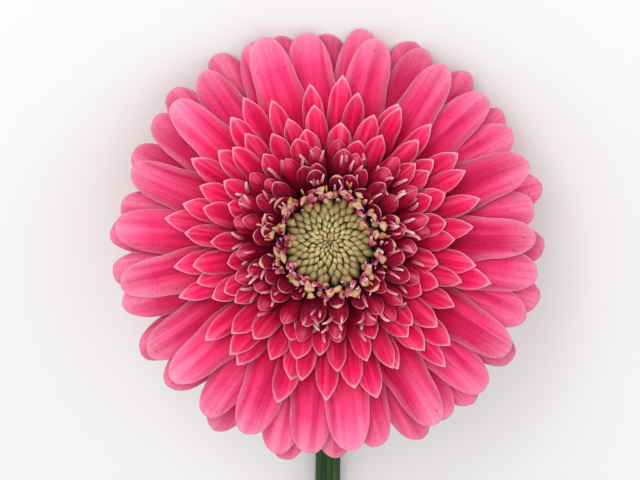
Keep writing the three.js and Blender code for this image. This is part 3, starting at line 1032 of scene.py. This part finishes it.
def wrapped_grid(around, rows, place_point):
    """A grid wrapped into a tube: place_point gives a point for each turn and share."""
    bpy.ops.mesh.primitive_grid_add(x_subdivisions=around, y_subdivisions=rows, size=1)
    made = bpy.context.object
    x, y, _ = raw_points(made)
    made.data.uv_layers[0].name = "petal"
    write_points(made, place_point(2 * np.pi * (x + 0.5), y + 0.5))
    bpy.ops.object.mode_set(mode="EDIT")
    bpy.ops.mesh.select_all(action="SELECT")
    bpy.ops.mesh.remove_doubles(threshold=MERGED)
    bpy.ops.mesh.normals_make_consistent(inside=False)
    bpy.ops.object.mode_set(mode="OBJECT")
    bpy.ops.object.shade_smooth()
    return made


def cup_point(turn, share):
    """A point of the cup, from its closed foot at share 0 to the lid that closes it at 1."""
    level = -CUP_DEPTH * (1 - np.clip((share * CUP_ROWS - 1) / (CUP_ROWS - 2), 0, 1))
    radius = cup_radius(level) - CUP_INSET
    radius = np.where((share < 0.001) | (share > 0.999), 0.001, radius)
    level = np.where(share > 0.94, CUP_LID, level)
    return from_head(np.array([np.cos(turn) * radius, np.sin(turn) * radius, level]))


def bract_outline(along):
    widening = 0.7 + 0.3 * np.sin(np.pi * np.minimum(along, 0.4) / 0.8)
    return widening - 0.25 * (1 - np.cos(np.pi * np.maximum(0, along - 0.4) / 0.6))


def bract_relief(across, along):
    """The arch across a bract, highest halfway along it."""
    return 0.3 * (1 - across**2) * np.sin(np.pi * np.clip(along, 0, 1))


bracts = [wrapped_grid(48, CUP_ROWS, cup_point)]
number_each_vertex(bracts[0], "rim", 4.0)
bract_blank = petal_blank(
    columns=6, rows=12, width=BRACT_WIDTH, length=BRACT_LENGTH, thick=BRACT_THICK,
    outline=bract_outline, relief=bract_relief, tip_depth=0.35, tip_power=1.0,
)
x, y, z = read_points(bract_blank)
along = y / BRACT_LENGTH
for index in range(BRACTS):
    share = index / (BRACTS - 1)
    foot = 0.9 - CUP_DEPTH + 6 * share
    top = -6.8 * (1 - share) ** 1.7 + 0.1 + 0.3 * draw(index, 93)
    level = foot + (top - foot) * along
    proud = -0.35 + 1.15 * along + (0.2 + 0.15 * draw(index, 94)) * along**4
    radius = cup_radius(level) + proud + z
    turn = index * GOLDEN_ANGLE - x / cup_radius(level)
    bract = copy_of(bract_blank)
    write_points(bract, from_head(np.array([np.sin(turn) * radius, np.cos(turn) * radius, level])))
    bracts.append(bract)
bpy.data.objects.remove(bract_blank)
bract_green = green_finish(
    "bract_skin",
    greens=(srgb(34, 58, 24), srgb(56, 88, 38), srgb(88, 118, 56)),
    veins=(7.0, 1.2),
    patches=500.0,
    roughness=0.6,
    edges={"pale": srgb(132, 150, 96), "tip": srgb(88, 52, 44)},
)
join_pieces(bracts, "bracts", bract_green, "involucre", slot="bract")

# The stem: a round, softly ribbed stalk 280 mm long that bends up into the cup, with a
# slanting cut end. It lies on a narrow flat along its underside.
STEM_LENGTH = 280
STEM_BOW = 16
STEM_CUT = 0.45
STEM_FLAT = math.cos(math.pi / 12)
STEM_RIBS = 11
STEM_END = 0.02


def stem_radius(share):
    return STEM_RADIUS * (1 + 0.12 * np.exp(-40 * share) + 0.1 * share)


def stem_frame(share):
    """The stem's middle line at shares of its length, with its sideways and upward ways."""
    top = from_head(np.array([[0.0], [0.0], [-CUP_DEPTH - 0.3]]))[:, 0]
    bend = math.pi / 2 - HEAD_TILT
    bend_radius = (top[2] - stem_radius(0) * STEM_FLAT) / (1 - math.cos(bend))
    left = np.maximum(0, bend - share * STEM_LENGTH / bend_radius)
    straight = STEM_LENGTH - bend_radius * bend
    run = np.maximum(0, share * STEM_LENGTH - bend_radius * bend)
    bowed = run / straight
    centre = np.array([
        top[0] - STEM_BOW * bowed**3,
        top[1] - bend_radius * (math.sin(bend) - np.sin(left)) - run,
        stem_radius(share) * STEM_FLAT + bend_radius * (1 - np.cos(left)),
    ])
    way = np.array([-3 * STEM_BOW * bowed**2 / straight, -np.cos(left), -np.sin(left)])
    way /= np.linalg.norm(way, axis=0)
    side = np.array([np.ones_like(share), np.zeros_like(share), np.zeros_like(share)]) - way * way[0]
    side /= np.linalg.norm(side, axis=0)
    return centre, side, np.cross(way.T, side.T).T, way


def stem_point(turn, share):
    """A point of the stem's skin. Its first and last rows close it, in the cup and at the cut."""
    end = np.clip((share - (1 - STEM_END)) / STEM_END, 0, 1)
    start = np.clip((STEM_END - share) / STEM_END, 0, 1)
    body = np.clip((share - STEM_END) / (1 - 2 * STEM_END), 0, 1) ** 1.5
    centre, side, up, way = stem_frame(body)
    rib = 1 - 0.03 * (0.5 + 0.5 * np.cos(STEM_RIBS * turn))
    closing = np.where(end > 0, 1 - end, np.where(start > 0, 1 - start, 1))
    radius = stem_radius(body) * rib * np.maximum(closing, 0.0001)
    height = np.sin(turn) * radius
    height = np.where(body > 0.05, np.maximum(height, -stem_radius(body) * STEM_FLAT), height)
    slant = np.where(body > 0.9999, STEM_CUT * height, np.where(start > 0, -1.2, 0))
    hollow = -0.8 * np.where(end > 0.6, (end - 0.6) / 0.4, 0)
    return centre + side * np.cos(turn) * radius + up * height + way * (slant + hollow)


# The greens are the stalk's own colour made darker by painted shade from the bloom above it.
stem_green = green_finish(
    "stem_skin",
    greens=(srgb(24, 48, 16), srgb(42, 74, 28), srgb(72, 104, 48)),
    veins=(14.0, 3.0),
    patches=260.0,
    roughness=0.55,
    ends={
        "where": [(0.0, 0), (0.9802, 0), (0.9815, 0.6), (0.987, 1)],
        "pith": srgb(196, 204, 158),
    },
)
stem = wrapped_grid(44, 150, stem_point)
bpy.ops.object.select_all(action="DESELECT")
stem.select_set(True)
bpy.context.view_layer.objects.active = stem
bpy.ops.object.shade_smooth_by_angle(angle=math.radians(35))
join_pieces([stem], "stem_stalk", stem_green, "stem", slot="stem_skin")

# The hairs: fine, pale and about a millimetre long, all over the stem and the bracts. Each
# stands out of the skin and leans towards the bloom.
STEM_HAIRS = 1900
BRACT_HAIRS = 800
STEM_HAIR_LENGTH = 0.75
BRACT_HAIR_LENGTH = 1.0
HAIR_RADIUS = 0.04
FIRST_HAIR = 0.004


def plant_hair(master, foot, outwards, along, tall):
    """A copy of a hair whose foot is at a point, in millimetres, or None where it would go into
    the table."""
    x, y, z = read_points(master)
    outwards = outwards / np.linalg.norm(outwards)
    side = np.cross(along, outwards)
    leaning = y + 0.5 * tall * z**2
    points = foot[:, None] + np.outer(side, x) + np.outer(along, leaning) + np.outer(outwards, z * tall)
    if points[2].min() < TABLE_GAP:
        return None
    planted = copy_of(master)
    write_points(planted, points)
    return planted


bpy.ops.mesh.primitive_cone_add(vertices=3, radius1=HAIR_RADIUS * MM, radius2=0, depth=1 * MM)
hair = bpy.context.object
x, y, z = read_points(hair)
write_points(hair, [x, y, z + 0.5])
hairs = []
for k in range(STEM_HAIRS):
    share = np.array([FIRST_HAIR + 0.99 * (k + 0.5 + 5 * draw(k, 95)) / STEM_HAIRS])
    centre, side, up, way = (part[:, 0] for part in stem_frame(share))
    turn = k * GOLDEN_ANGLE + 0.4 * draw(k, 96)
    outwards = side * math.cos(turn) + up * math.sin(turn)
    foot = centre + outwards * (float(stem_radius(share[0])) * 0.96)
    hairs.append(plant_hair(hair, foot, outwards, -way, STEM_HAIR_LENGTH + 0.3 * draw(k, 91)))
head_turn = np.array(HEAD.to_3x3())
for k in range(BRACT_HAIRS):
    level = -0.6 - 11.5 * (k + 0.5) / BRACT_HAIRS
    turn = k * GOLDEN_ANGLE
    radius = float(cup_radius(level))
    slope = (radius - float(cup_radius(level - 0.2))) / 0.2
    outwards = head_turn @ np.array([math.sin(turn), math.cos(turn), -slope])
    foot = from_head(np.array([[math.sin(turn) * radius], [math.cos(turn) * radius], [level]]))[:, 0]
    tall = BRACT_HAIR_LENGTH + 0.3 * draw(k, 92)
    hairs.append(plant_hair(hair, foot, outwards, head_turn @ np.array([0.0, 0.0, 1.0]), tall))
bpy.data.objects.remove(hair)
hair_pale = mottled_finish(
    "hair_strand", srgb(150, 164, 118), srgb(206, 212, 180), roughness=0.6, scale=300.0, detail=2.0,
)
join_pieces([hair for hair in hairs if hair], "fine_hairs", hair_pale, slot="stem_skin")

# The surface the flower lies on, the soft light round it, and the camera, which looks along
# the bloom's axis from where the photo was taken, a few pixels off its middle.
PHOTO_WIDTH = 640
PIXEL = 0.26 * MM
PIXELS_ASIDE = -8.7
PIXELS_UP = 2.3
DISTANCE = 0.75
SENSOR = 36
WORLD_LIGHT = 0.84

bpy.ops.mesh.primitive_plane_add(size=6, location=(0, 0, -0.0001))
table = bpy.context.object
table.name = "table"
paper, _, shader = new_finish("white_surface", roughness=0.9, gloss=0.1)
shader.inputs["Base Color"].default_value = (0.92, 0.92, 0.92, 1)
table.data.materials.append(paper)

world = bpy.data.worlds.new("studio")
world.use_nodes = True
world.node_tree.nodes["Background"].inputs["Color"].default_value = (1, 1, 1, 1)
world.node_tree.nodes["Background"].inputs["Strength"].default_value = WORLD_LIGHT
bpy.context.scene.world = world

for name, place, size, power in (
    ("key", Vector((-0.3, 0.75, 0.85)), 0.6, 4.0),
    ("fill", Vector((0.8, 0.3, 0.7)), 1.0, 0.4),
):
    bpy.ops.object.light_add(type="AREA", location=HEAD_PLACE + place)
    lamp = bpy.context.object
    lamp.name = name
    lamp.data.size = size
    lamp.data.energy = power
    lamp.rotation_euler = (-place).to_track_quat("-Z", "Y").to_euler()

bpy.ops.object.camera_add()
camera = bpy.context.object
camera.name = "photo_camera"
axis = Vector((0, math.sin(HEAD_TILT), math.cos(HEAD_TILT)))
upwards = Vector((0, math.cos(HEAD_TILT), -math.sin(HEAD_TILT)))
turn = Matrix((Vector((1, 0, 0)), upwards, axis)).transposed().to_4x4()
camera.matrix_world = Matrix.Translation(HEAD_PLACE + axis * DISTANCE) @ turn
camera.data.sensor_width = SENSOR
camera.data.lens = SENSOR * DISTANCE / (PHOTO_WIDTH * PIXEL)
camera.data.shift_x = PIXELS_ASIDE / PHOTO_WIDTH
camera.data.shift_y = PIXELS_UP / PHOTO_WIDTH
camera.data.clip_start = 0.01
bpy.context.scene.camera = camera
bpy.context.scene.view_settings.view_transform = "Standard"
